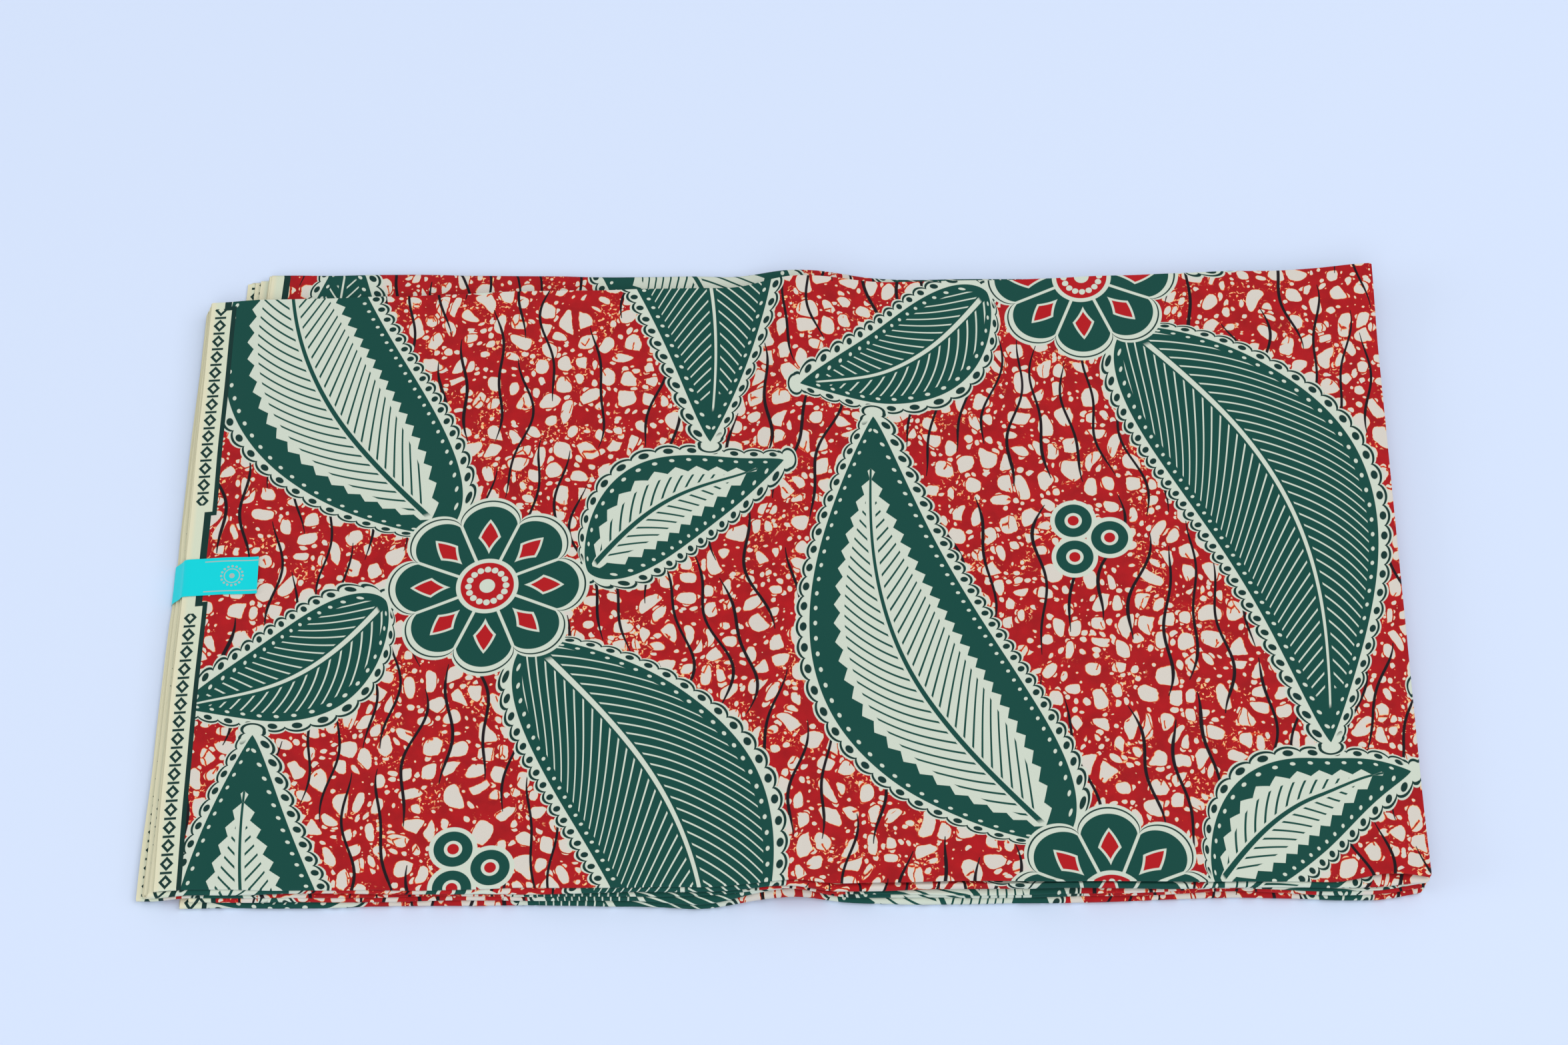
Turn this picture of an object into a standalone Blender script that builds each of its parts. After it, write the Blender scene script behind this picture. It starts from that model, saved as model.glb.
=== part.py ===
"""A six-yard length of wax-print cotton, folded flat for sale, with a foil label on its selvedges.

The cloth is doubled across its width, so its fold is at +X and both selvedges are at -X. The doubled
cloth is then folded to and fro along its length, which leaves rounded noses at the front (-Y) and at
the back (+Y). An old crease across the middle stands up as a low ridge, with a shallow tunnel below,
and the packet swells at the two corners where both kinds of fold meet.
"""

import math
from collections import namedtuple

import bmesh
import bpy
from mathutils import Vector

# The cloth as it is sold, in metres
PLY = 0.000375  # one layer, with the air that it holds
FOLD = 4 * PLY  # two doubled panels round one nose
SEAM_GAP = 0.0003  # between solids that lie on each other

# The heights at which the three stretches of the packet start
LOWER_FOLDS = 4
UPPER_FOLDS = 3
LOWER_START = 0.0
UPPER_START = LOWER_START + LOWER_FOLDS * FOLD + SEAM_GAP
TOP_START = UPPER_START + UPPER_FOLDS * FOLD + SEAM_GAP
TOP_SURFACE = TOP_START + FOLD

# The plan of each fold, from the bottom up: where its four edges start and end, in metres. Left and
# right edges run from front to back, and front and back edges run from left to right.
Outline = namedtuple(
    "Outline", "left_front left_back right_front right_back front_left front_right back_left back_right"
)
LOWER_OUTLINES = [
    Outline(-0.2860, -0.2725, 0.2886, 0.2915, -0.1632, -0.1692, 0.1752, 0.1630),
    Outline(-0.2845, -0.2685, 0.2891, 0.2920, -0.1627, -0.1688, 0.1754, 0.1632),
    Outline(-0.2835, -0.2660, 0.2896, 0.2925, -0.1622, -0.1682, 0.1757, 0.1634),
    Outline(-0.2810, -0.2605, 0.2901, 0.2930, -0.1618, -0.1676, 0.1762, 0.1637),
]
UPPER_OUTLINES = [
    Outline(-0.3050, -0.2930, 0.2905, 0.2934, -0.1606, -0.1666, 0.1552, 0.1640),
    Outline(-0.3005, -0.2922, 0.2909, 0.2938, -0.1602, -0.1660, 0.1558, 0.1646),
    Outline(-0.2987, -0.2916, 0.2913, 0.2942, -0.1598, -0.1654, 0.1562, 0.1652),
]
TOP_OUTLINES = [
    Outline(-0.2968, -0.2910, 0.2920, 0.2950, -0.1590, -0.1646, 0.1576, 0.1672),
]
CORNER_RADIUS = 0.0045  # at the folded corners, on the right

# The ridge that the old crease leaves, at the front and at the back of the packet
Ridge = namedtuple("Ridge", "y middle height left_reach right_reach")
FRONT_RIDGE = Ridge(-0.171, -0.0040, 0.0070, 0.044, 0.024)
BACK_RIDGE = Ridge(0.177, 0.0056, 0.0115, 0.052, 0.062)
RIDGE_SHARPNESS = 1.25

# The swollen corners: how much thicker the packet is there, and how far that reaches
Swelling = namedtuple("Swelling", "x y share reach")
SWELLINGS = [
    Swelling(0.297, 0.170, 0.38, 0.080),
    Swelling(0.293, -0.166, 0.12, 0.055),
]

# How finely the folds are drawn
NOSE_ANGLES = (-90, -42, 0, 42, 90)
FIRST_STATION, SWELLING_STATION, LAST_STATION = -0.255, 0.200, 0.280
PLAIN_STEP = 0.060
RIDGE_STEPS = 16
SWELLING_STEPS = 5
CORNER_STEPS = 4
ROW_SHARES = (0.0, 0.06, 0.14, 0.35, 0.65, 0.80, 0.90, 0.96, 1.0)

# The label: a strip that starts on the top panel and slopes down over the edges of the folds
LABEL_THICKNESS = 0.00045
LABEL_WIDTH = 0.0200
LABEL_MIDDLE_Y = 0.0025
LABEL_START_X = -0.2570
LABEL_LENGTH_FRONT = 0.0465
LABEL_LENGTH_BACK = 0.0410
LABEL_SLOPE = math.radians(42)
LABEL_BEND_RADIUS = 0.0020
LABEL_STEPS, LABEL_ROWS = 20, 6

Look = namedtuple("Look", "colour roughness")
LOOKS = {
    "top_fold": Look((0.50, 0.012, 0.015, 1.0), 0.85),
    "upper_folds": Look((0.62, 0.60, 0.50, 1.0), 0.85),
    "lower_folds": Look((0.018, 0.110, 0.082, 1.0), 0.85),
    "label": Look((0.010, 0.680, 0.720, 1.0), 0.30),
}


def clear_scene():
    for obj in list(bpy.data.objects):
        bpy.data.objects.remove(obj, do_unlink=True)


def mix(start, end, share):
    return start + (end - start) * share


def ridge_height(x, ridge):
    """The ridge's height over the flat packet at x: a soft peak with two unlike slopes."""
    reach = ridge.left_reach if x < ridge.middle else ridge.right_reach
    away = abs(x - ridge.middle) / reach
    if away >= 1.0:
        return 0.0
    return ridge.height * (0.5 + 0.5 * math.cos(math.pi * away)) ** RIDGE_SHARPNESS


def lift(x, y):
    """How far the ridge raises every layer at (x, y). It changes evenly from front to back."""
    share = (y - FRONT_RIDGE.y) / (BACK_RIDGE.y - FRONT_RIDGE.y)
    return mix(ridge_height(x, FRONT_RIDGE), ridge_height(x, BACK_RIDGE), share)


def swelling(x, y):
    """How many times thicker the packet is at (x, y) than where it lies flat."""
    times = 1.0
    for corner in SWELLINGS:
        away = math.hypot(x - corner.x, y - corner.y) / corner.reach
        if away < 1.0:
            times += corner.share * (0.5 + 0.5 * math.cos(math.pi * away))
    return times


def settled(x, y, height):
    """The point of a layer at (x, y), given its height in a packet that lies quite flat."""
    return Vector((x, y, height * swelling(x, y) + lift(x, y)))


def evenly(start, end, steps):
    return [mix(start, end, i / steps) for i in range(steps)]


def stations():
    """The x places where every fold has a section, closest along the ridge."""
    ridge_left = min(r.middle - r.left_reach for r in (FRONT_RIDGE, BACK_RIDGE))
    ridge_right = max(r.middle + r.right_reach for r in (FRONT_RIDGE, BACK_RIDGE))
    before = round((ridge_left - FIRST_STATION) / PLAIN_STEP)
    after = round((SWELLING_STATION - ridge_right) / PLAIN_STEP)
    places = evenly(FIRST_STATION, ridge_left, before)
    places += evenly(ridge_left, ridge_right, RIDGE_STEPS)
    places += evenly(ridge_right, SWELLING_STATION, after)
    places += evenly(SWELLING_STATION, LAST_STATION, SWELLING_STEPS)
    return places + [LAST_STATION]


def edge_point(outline, edge, x):
    """The y of an outline's front or back edge at x."""
    left = getattr(outline, "left_" + edge)
    right = getattr(outline, "right_" + edge)
    share = (x - left) / (right - left)
    return mix(getattr(outline, edge + "_left"), getattr(outline, edge + "_right"), share)


def section_at(outline, x, front_bulge, back_bulge):
    """The front and back points (x, y) of one level on a straight section across the packet."""
    front = Vector((x, edge_point(outline, "front", x) - front_bulge))
    back = Vector((x, edge_point(outline, "back", x) + back_bulge))
    return front, back


def section_left(outline, front_bulge, back_bulge):
    """The same at the selvedges, which run at a slant."""
    front = Vector((outline.left_front, outline.front_left - front_bulge))
    back = Vector((outline.left_back, outline.back_left + back_bulge))
    return front, back


def section_right(outline, front_bulge, back_bulge, from_end):
    """The same near the folded end: the corners are round, and the end has a nose of its own."""
    inward = CORNER_RADIUS - from_end
    inset = CORNER_RADIUS - math.sqrt(CORNER_RADIUS**2 - inward**2)
    front_x = outline.right_front + front_bulge - from_end
    back_x = outline.right_back + front_bulge - from_end
    front = Vector((front_x, outline.front_right - front_bulge + inset))
    back = Vector((back_x, outline.back_right + back_bulge - inset))
    return front, back


def sections(outline, front_bulge, back_bulge):
    """All sections of one level, from the selvedges to the folded end."""
    found = [section_left(outline, front_bulge, back_bulge)]
    found += [section_at(outline, x, front_bulge, back_bulge) for x in stations()]
    for step in range(CORNER_STEPS + 1):
        from_end = CORNER_RADIUS * (1 - step / CORNER_STEPS) ** 2
        found.append(section_right(outline, front_bulge, back_bulge, from_end))
    return found


def levels(outlines, start, back_is_cut):
    """The levels of a stack of folds, from the bottom up, each as (height, its sections)."""
    found = []
    for number, outline in enumerate(outlines):
        middle = start + (number + 0.5) * FOLD
        for angle in NOSE_ANGLES:
            bulge = FOLD / 2 * math.cos(math.radians(angle))
            height = middle + FOLD / 2 * math.sin(math.radians(angle))
            found.append((height, sections(outline, bulge, 0.0 if back_is_cut else bulge)))
    return found


def folds(name, outlines, start, back_is_cut=False):
    """A closed solid of folds that lie on each other: noses at the front, back and right.

    It is a loft between the packet's sections, which differ from end to end. The rows of points that
    run from front to back let its flat faces follow the ridge and the swollen corners. Those faces
    are cut along the same diagonals in every solid, so that the solids stay apart where they bend."""
    stack = levels(outlines, start, back_is_cut)
    top = len(stack) - 1
    back = len(ROW_SHARES) - 1
    mesh = bmesh.new()
    grid = {}
    ends = len(stack[0][1]) - 1
    for level, (height, crossings) in enumerate(stack):
        for station, (front_point, back_point) in enumerate(crossings):
            is_open = level in (0, top) or station in (0, ends)
            for row in range(back + 1) if is_open else (0, back):
                x, y = front_point.lerp(back_point, ROW_SHARES[row])
                grid[station, level, row] = mesh.verts.new(settled(x, y, height))

    def face(*keys):
        mesh.faces.new([grid[key] for key in keys])

    for i in range(ends):
        for j in range(top):
            for row in (0, back):
                face((i, j, row), (i + 1, j, row), (i + 1, j + 1, row), (i, j + 1, row))
        for row in range(back):
            for level in (0, top):
                near, far = (i, level, row), (i + 1, level, row + 1)
                face(near, (i + 1, level, row), far)
                face(near, far, (i, level, row + 1))
    for i in (0, ends):
        for j in range(top):
            for row in range(back):
                face((i, j, row), (i, j, row + 1), (i, j + 1, row + 1), (i, j + 1, row))
    bmesh.ops.recalc_face_normals(mesh, faces=mesh.faces)
    return add_object(name, mesh)


def label_point(along, y):
    """A point of the label's underside: flat on the top panel, a round bend, then the slope."""
    edge = TOP_OUTLINES[0]
    share = (y - edge.front_left) / (edge.back_left - edge.front_left)
    bend_x = mix(edge.left_front, edge.left_back, share)
    flat = LABEL_START_X - bend_x
    height = TOP_SURFACE + SEAM_GAP
    turned = min(max(0.0, along - flat) / LABEL_BEND_RADIUS, LABEL_SLOPE)
    sloping = max(0.0, along - flat - LABEL_BEND_RADIUS * LABEL_SLOPE)
    x = LABEL_START_X - min(along, flat) - LABEL_BEND_RADIUS * math.sin(turned)
    z = height - LABEL_BEND_RADIUS * (1 - math.cos(turned))
    return Vector((x - sloping * math.cos(LABEL_SLOPE), y, z - sloping * math.sin(LABEL_SLOPE)))


def label():
    """The label's underside as an open grid, given its thickness outwards."""
    mesh = bmesh.new()
    bmesh.ops.create_grid(mesh, x_segments=LABEL_STEPS, y_segments=LABEL_ROWS, size=0.5)
    for vert in mesh.verts:
        across = vert.co.y + 0.5
        y = LABEL_MIDDLE_Y + (across - 0.5) * LABEL_WIDTH
        length = mix(LABEL_LENGTH_FRONT, LABEL_LENGTH_BACK, across)
        vert.co = label_point((0.5 - vert.co.x) * length, y)
    obj = add_object("label", mesh)
    wall = obj.modifiers.new("thickness", "SOLIDIFY")
    wall.thickness = LABEL_THICKNESS
    wall.offset = 1.0
    return obj


def add_object(name, mesh):
    """Makes the object from a bmesh, with its material, in the packet's collection."""
    data = bpy.data.meshes.new(name)
    mesh.to_mesh(data)
    mesh.free()
    obj = bpy.data.objects.new(name, data)
    bpy.data.collections["folded_cloth"].objects.link(obj)
    data.shade_smooth()
    data.set_sharp_from_angle(angle=math.radians(50))
    material = bpy.data.materials.new(name)
    material.use_nodes = True
    shader = material.node_tree.nodes["Principled BSDF"]
    shader.inputs["Base Color"].default_value = LOOKS[name].colour
    shader.inputs["Roughness"].default_value = LOOKS[name].roughness
    shader.inputs["Metallic"].default_value = 0.0
    data.materials.append(material)
    return obj


def centre_over_origin(objects):
    """Parents all to an empty, and moves it so that the middle of the packet's outline is the origin."""
    bpy.context.view_layer.update()
    corners = [obj.matrix_world @ Vector(corner) for obj in objects for corner in obj.bound_box]
    packet = bpy.data.objects.new("packet", None)
    bpy.data.collections["folded_cloth"].objects.link(packet)
    for obj in objects:
        obj.parent = packet
    for axis in (0, 1):
        places = [corner[axis] for corner in corners]
        packet.location[axis] = -(min(places) + max(places)) / 2


def main():
    clear_scene()
    collection = bpy.data.collections.new("folded_cloth")
    bpy.context.scene.collection.children.link(collection)
    parts = [
        folds("lower_folds", LOWER_OUTLINES, LOWER_START),
        folds("upper_folds", UPPER_OUTLINES, UPPER_START),
        folds("top_fold", TOP_OUTLINES, TOP_START, back_is_cut=True),
        label(),
    ]
    centre_over_origin(parts)


main()
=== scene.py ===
# %% [markdown]
# # A folded length of wax-print cotton
# The packet is one long cloth. It is doubled across its width, folded to and fro along its length, and
# held together at the selvedges by a strip of foil. The solids of the frame give its size and place,
# and this lesson makes the cloth itself, layer by layer, and then its print.

# %% Load the frame
import math
from collections import namedtuple
from functools import partial

import bpy
import numpy as np
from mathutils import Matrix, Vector


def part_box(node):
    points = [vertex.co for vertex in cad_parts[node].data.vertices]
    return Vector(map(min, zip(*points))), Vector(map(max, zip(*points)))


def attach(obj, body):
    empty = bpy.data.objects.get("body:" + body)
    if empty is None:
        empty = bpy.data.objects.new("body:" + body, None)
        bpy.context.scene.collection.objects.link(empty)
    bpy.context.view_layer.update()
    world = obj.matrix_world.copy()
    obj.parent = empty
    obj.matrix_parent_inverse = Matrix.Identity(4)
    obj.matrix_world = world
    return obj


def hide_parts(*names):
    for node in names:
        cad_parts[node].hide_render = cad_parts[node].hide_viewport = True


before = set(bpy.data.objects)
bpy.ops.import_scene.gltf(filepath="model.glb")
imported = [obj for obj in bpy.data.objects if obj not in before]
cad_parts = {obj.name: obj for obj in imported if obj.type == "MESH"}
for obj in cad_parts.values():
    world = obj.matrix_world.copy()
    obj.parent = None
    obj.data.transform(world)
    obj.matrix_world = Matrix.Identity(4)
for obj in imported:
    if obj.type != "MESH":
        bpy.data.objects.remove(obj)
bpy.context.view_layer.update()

# %% [markdown]
# ## The camera
# The photograph is taken from the front, 62 degrees above the table, with a long lens. A long lens
# keeps the packet's sides nearly parallel. Only the direction, the distance and the point that it
# looks at are given, and the camera's place follows from them.

# %% Camera
VIEW_HEADING = math.radians(1.01)
VIEW_DOWN = math.radians(62.0)
VIEW_DISTANCE = 1.71
LOOKS_AT = Vector((0.0015, 0.0302, 0.0))
LENS_MM, SENSOR_MM = 80.2, 36.0
CLIP_NEAR, CLIP_FAR = 0.05, 20.0


def direction_of_view():
    ahead = Vector((math.sin(VIEW_HEADING), math.cos(VIEW_HEADING), 0.0)) * math.cos(VIEW_DOWN)
    return ahead - Vector((0.0, 0.0, math.sin(VIEW_DOWN)))


def make_camera():
    bpy.ops.object.camera_add(location=LOOKS_AT - VIEW_DISTANCE * direction_of_view())
    camera = bpy.context.object
    camera.name = "view"
    camera.rotation_euler = direction_of_view().to_track_quat("-Z", "Y").to_euler()
    camera.data.lens, camera.data.sensor_width = LENS_MM, SENSOR_MM
    camera.data.clip_start, camera.data.clip_end = CLIP_NEAR, CLIP_FAR
    bpy.context.scene.camera = camera


make_camera()
print("camera", round(VIEW_DISTANCE, 2), "m away")

# %% [markdown]
# ## The light and the table
# The picture is nearly free of shadow. A wide soft light stands high on the right, so the slopes that
# face left are a shade darker, and a bright room fills in the rest. Large area lights, a low and
# distant one of them on the left, and an even world give that. The table is a plain pale sheet with a
# hint of blue. The Standard view transform shows the colours as they are set.

# %% Studio
PALE_BLUE, TABLE_ROUGHNESS = (0.668, 0.775, 0.985), 0.7
TABLE_SIZE, TABLE_TOP = 9.0, -0.0002
ROOM_COLOUR, ROOM_STRENGTH = (1.0, 1.0, 1.0), 0.541


def soft_light(name, place, size, power):
    bpy.ops.object.light_add(type="AREA", location=place)
    light = bpy.context.object
    light.name = name
    light.data.shape, light.data.size, light.data.energy = "SQUARE", size, power
    light.rotation_euler = (-Vector(place)).to_track_quat("-Z", "Y").to_euler()


def make_table():
    bpy.ops.mesh.primitive_plane_add(size=TABLE_SIZE, location=(0.0, 0.0, TABLE_TOP))
    table = bpy.context.object
    table.name = "table"
    material = bpy.data.materials.new("pale_table")
    material.use_nodes = True
    shader = material.node_tree.nodes["Principled BSDF"]
    shader.inputs["Base Color"].default_value = (*PALE_BLUE, 1.0)
    shader.inputs["Roughness"].default_value = TABLE_ROUGHNESS
    table.data.materials.append(material)


def make_world():
    world = bpy.data.worlds.new("room")
    world.use_nodes = True
    background = world.node_tree.nodes["Background"]
    background.inputs["Color"].default_value = (*ROOM_COLOUR, 1.0)
    background.inputs["Strength"].default_value = ROOM_STRENGTH
    bpy.context.scene.world = world


bpy.ops.object.select_all(action="DESELECT")
make_table()
soft_light("right_window", (4.0, -0.6, 6.0), 7.0, 240.0)
soft_light("front_fill", (-0.6, -4.2, 4.6), 4.0, 80.0)
soft_light("left_fill", (-7.0, -0.9, 2.2), 3.5, 105.0)
make_world()
bpy.context.scene.view_settings.view_transform = "Standard"
print("lights:", [obj.name for obj in bpy.data.objects if obj.type == "LIGHT"])

# %% [markdown]
# ## Writing a pattern as arithmetic
# A wax print is drawn with flat inks, so every colour boundary is a formula of the place on the cloth.
# Shader nodes can hold such formulas, but a hundred Math nodes are hard to read. The small class below
# stands for one number in a node tree, and its plus, minus and times add the Math nodes. The formulas
# of the print then read like ordinary arithmetic.


# %% Numbers that live in a node tree
class Number:
    """An output of a node tree. Arithmetic on it adds Math nodes and gives another Number."""

    def __init__(self, socket):
        self.socket, self.tree = socket, socket.id_data

    def math(self, operation, *values):
        node = self.tree.nodes.new("ShaderNodeMath")
        node.operation = operation
        for value, socket in zip(values, node.inputs):
            feed(value, socket)
        return Number(node.outputs[0])

    def __rsub__(self, other):
        return self.math("SUBTRACT", other, self)

    def __neg__(self):
        return self * -1.0

    def above(self, edge, blur):
        """A mask: 1 where the number is over the edge, 0 under it, and a ramp as wide as blur."""
        ramp = (self - edge) * (1.0 / blur) + 0.5
        ramp.socket.node.use_clamp = True
        return ramp

    def shown(self, blur=0.25):
        """A mask that is 1 where the number is over 0, as it is inside a printed shape."""
        return self.above(0.0, blur)


def math_method(operation):
    return lambda self, *others: self.math(operation, self, *others)


# Each of these methods adds one Math node. The soft lower also takes the reach of its rounding.
MATH_METHODS = {
    "__add__": "ADD", "__sub__": "SUBTRACT", "__mul__": "MULTIPLY", "__truediv__": "DIVIDE",
    "__mod__": "FLOORED_MODULO", "__abs__": "ABSOLUTE", "floor": "FLOOR", "root": "SQRT",
    "power": "POWER", "lower": "MINIMUM", "higher": "MAXIMUM", "softly_lower": "SMOOTH_MIN",
    "sine": "SINE", "cosine": "COSINE", "arctangent": "ARCTAN2",
}
for method, math_operation in MATH_METHODS.items():
    setattr(Number, method, math_method(math_operation))


def feed(value, socket):
    """Puts a Number or a plain value into a node's input."""
    if isinstance(value, Number):
        value.tree.links.new(value.socket, socket)
    else:
        socket.default_value = value


print("a Number knows", len(MATH_METHODS), "kinds of Math node")


# %% Groups, textures and inks
def make_group(name, formula, result, **inputs):
    """A node group that works out a formula. Its result and its inputs are given by their kinds."""
    tree = bpy.data.node_groups.new(name, "ShaderNodeTree")
    for label, kind in inputs.items():
        tree.interface.new_socket(label, in_out="INPUT", socket_type="NodeSocket" + kind)
    tree.interface.new_socket("result", in_out="OUTPUT", socket_type="NodeSocket" + result)
    entry, end = tree.nodes.new("NodeGroupInput"), tree.nodes.new("NodeGroupOutput")
    feed(formula(**{label: Number(entry.outputs[label]) for label in inputs}), end.inputs["result"])
    print("group", name, "has", len(tree.nodes), "nodes")
    return tree


def use_group(group, place, **values):
    """Puts a group into the tree of the place that it reads, and gives the group's result."""
    node = place.tree.nodes.new("ShaderNodeGroup")
    node.node_tree = group
    for label, value in {"place": place, **values}.items():
        feed(value, node.inputs[label])
    return Number(node.outputs["result"])


def separate(vector):
    node = vector.tree.nodes.new("ShaderNodeSeparateXYZ")
    feed(vector, node.inputs[0])
    return Number(node.outputs[0]), Number(node.outputs[1])


def combine(x, y):
    node = x.tree.nodes.new("ShaderNodeCombineXYZ")
    feed(x, node.inputs[0])
    feed(y, node.inputs[1])
    return Number(node.outputs[0])


def vector_math(operation, first, *others):
    """Arithmetic on whole places."""
    node = first.tree.nodes.new("ShaderNodeVectorMath")
    node.operation = operation
    for value, socket in zip((first, *others), node.inputs):
        feed(value, socket)
    return Number(node.outputs[0])


def distance(x, y):
    return (x.power(2.0) + y.power(2.0)).root()


def noise_node(place, size, detail):
    node = place.tree.nodes.new("ShaderNodeTexNoise")
    node.noise_dimensions = "2D"
    feed(place, node.inputs["Vector"])
    node.inputs["Scale"].default_value = 1.0 / size
    node.inputs["Detail"].default_value = detail
    return node


def noise(place, size, detail=1.0):
    """Cloudy noise with patches of about this size. It runs from 0 to 1, mostly near 0.5."""
    return Number(noise_node(place, size, detail).outputs["Fac"])


def shifted_by_noise(place, size, reach, detail=1.0):
    """The place on the cloth, moved about by up to about this reach."""
    cloudy = Number(noise_node(place, size, detail).outputs["Color"])
    centred = vector_math("SUBTRACT", cloudy, (0.5, 0.5, 0.5))
    return vector_math("MULTIPLY_ADD", centred, (2 * reach, 2 * reach, 0.0), place)


def cells(place, feature="F1", randomness=1.0):
    """The outputs, by name, of a Voronoi texture with cells one unit across."""
    node = place.tree.nodes.new("ShaderNodeTexVoronoi")
    node.voronoi_dimensions, node.feature = "2D", feature
    feed(place, node.inputs["Vector"])
    node.inputs["Scale"].default_value = 1.0
    node.inputs["Randomness"].default_value = randomness
    return {output.name: Number(output) for output in node.outputs}


def lot(x, y=0.0):
    """A number from 0 to 1 drawn by lot for each pair of whole numbers."""
    node = x.tree.nodes.new("ShaderNodeTexWhiteNoise")
    node.noise_dimensions = "2D"
    feed(combine(x, y), node.inputs["Vector"])
    return Number(node.outputs["Value"])


# The sockets of a Mix node that mixes colours: the mask, the colour below, the ink, and what comes out
MIX_MASK, MIX_BELOW, MIX_INK, MIX_RESULT = 0, 6, 7, 2


def paint(below, *layers):
    """Prints layers over a colour, from the lowest up. A layer is its ink, and a mask of where it goes."""
    for layer_ink, mask in layers:
        node = mask.tree.nodes.new("ShaderNodeMix")
        node.data_type = "RGBA"
        for value, socket in ((mask, MIX_MASK), (below, MIX_BELOW), (layer_ink, MIX_INK)):
            feed(value, node.inputs[socket])
        below = Number(node.outputs[MIX_RESULT])
    return below


def ink(red, green, blue):
    """A colour as a screen shows it, from 0 to 255, turned into the light that it stands for."""
    shares = [value / 255.0 for value in (red, green, blue)]
    return (*(s / 12.92 if s < 0.04045 else ((s + 0.055) / 1.055) ** 2.4 for s in shares), 1.0)


PEBBLE_CREAM, CREAM = ink(213, 207, 198), ink(204, 214, 200)
# The colour of each ply's outermost edge: a yellower tint, and painted light too, lighter than the cloth
# to offset the shade on the fanned edges
SELVEDGE_CREAM, EDGE_TINT_AND_PAINTED_LIGHT = ink(210, 218, 195), ink(222, 219, 190)
GREEN, DARK_GREEN = ink(9, 71, 63), ink(8, 50, 46)
RED, DEEP_RED, ORANGE, STRAW = ink(177, 16, 25), ink(156, 13, 22), ink(216, 62, 26), ink(236, 196, 140)
HAIRLINE = ink(20, 12, 20)
print("green ink:", [round(share, 3) for share in GREEN])

# %% [markdown]
# ## The ground: crackled pebbles on red
# On a real wax print the pattern is a resin that keeps the dye out. The resin bubbles and cracks, and
# leaves pale pebbles with broken edges on the dyed ground. No two repeats of that are alike. Voronoi
# cells give the pebbles: a pebble is what lies inside a rounded square at the cell's middle, and clear
# of the cell's edge. Each is stretched by lot, to be tall or wide. Noise moves the lookup point about,
# so that no outline is regular. Finer cells cut some pebbles with hair cracks, and scatter crumbs
# between them. Where dye crept under the resin, an orange fringe shows. Lengths are in millimetres on
# the flat cloth.

# %% The pebbled ground
PEBBLE_WIDTH, PEBBLE_HEIGHT, DISORDER = 10.8, 12.6, 0.88
SLOW_SHIFT, ROUGH_SHIFT = {"size": 24.0, "reach": 5.0}, {"size": 2.6, "reach": 0.45, "detail": 2.0}
SQUARENESS, STRETCH, LEAST_STRETCH_X, MOST_STRETCH_Y = 2.6, 0.56, 0.80, 1.30
SMALLEST, SIZE_RANGE, SIZE_BIAS = 0.185, 0.340, 0.8
GAP_PATCH, GAP_RANGE, LEAST_GAP, ROUNDING = 26.0, 3.0, -0.15, 3.8
CRACK_WIDTH, CRACK_HEIGHT, HALF_CRACK, CRACKED_PATCH, UNCRACKED = 6.5, 16.0, 0.30, 15.0, 9.0
CRUMB_SIZE, CRUMB_RANGE, CRUMB_LOSS, CRUMB_CLEARANCE = 4.4, 0.50, 0.12, 0.8
SHADE_PATCH, CROWD_PATCH, FLECK_SIZE, FRINGE_PATCH = 9.0, 19.0, 1.7, 2.2
FLECK_SHIFT = {"size": 3.0, "reach": 1.5}

# Where each part of the ground begins in its noise or its distance, and how wide its blur is
CRACKED, SHADED, CROWDED, BROKEN_FRINGE = (0.61, 0.03), (0.5, 0.5), (0.62, 0.08), (0.49, 0.2)
ORANGE_FLECKS, STRAW_FLECKS = (0.60, 0.03), (0.66, 0.03)
ORANGE_EDGE, STRAW_EDGE, PEBBLE_EDGE = (-0.26, 0.26), (-0.06, 0.16), (0.08, 0.18)


def scaled(across, along, width, height):
    return combine(across * (1 / width), along * (1 / height))


def pebble_field(place):
    """How far inside a pebble a point lies, in millimetres, and under 0 on the red ground."""
    across, along = separate(shifted_by_noise(shifted_by_noise(place, **SLOW_SHIFT), **ROUGH_SHIFT))
    stretched = scaled(across, along, PEBBLE_WIDTH, PEBBLE_HEIGHT)
    middles = cells(stretched, randomness=DISORDER)
    edges = cells(stretched, "DISTANCE_TO_EDGE", DISORDER)
    size_lot, shape_lot = separate(middles["Color"])
    middle_x, middle_y = separate(middles["Position"])
    off_x = abs(across * (1 / PEBBLE_WIDTH) - middle_x) * (shape_lot * STRETCH + LEAST_STRETCH_X)
    off_y = abs(along * (1 / PEBBLE_HEIGHT) - middle_y) * (MOST_STRETCH_Y - shape_lot * STRETCH)
    square = (off_x.power(SQUARENESS) + off_y.power(SQUARENESS)).power(1 / SQUARENESS)
    radius = size_lot.power(SIZE_BIAS) * SIZE_RANGE + SMALLEST
    gap = noise(place, GAP_PATCH) * GAP_RANGE + LEAST_GAP
    from_edge = edges["Distance"] * PEBBLE_WIDTH - gap
    pebble = ((radius - square) * PEBBLE_WIDTH).softly_lower(from_edge, ROUNDING)
    cracks = cells(scaled(across, along, CRACK_WIDTH, CRACK_HEIGHT), "DISTANCE_TO_EDGE")
    cracked = noise(place, CRACKED_PATCH).above(*CRACKED)
    crack = cracks["Distance"] * CRACK_WIDTH - HALF_CRACK + (1.0 - cracked) * UNCRACKED
    crumbs = cells(scaled(across, along, CRUMB_SIZE, CRUMB_SIZE))
    crumb_lot = separate(crumbs["Color"])[0]
    crumb = (crumb_lot * CRUMB_RANGE - CRUMB_LOSS - crumbs["Distance"]) * CRUMB_SIZE
    return pebble.lower(crack).higher(crumb.lower(-pebble - CRUMB_CLEARANCE))


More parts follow.
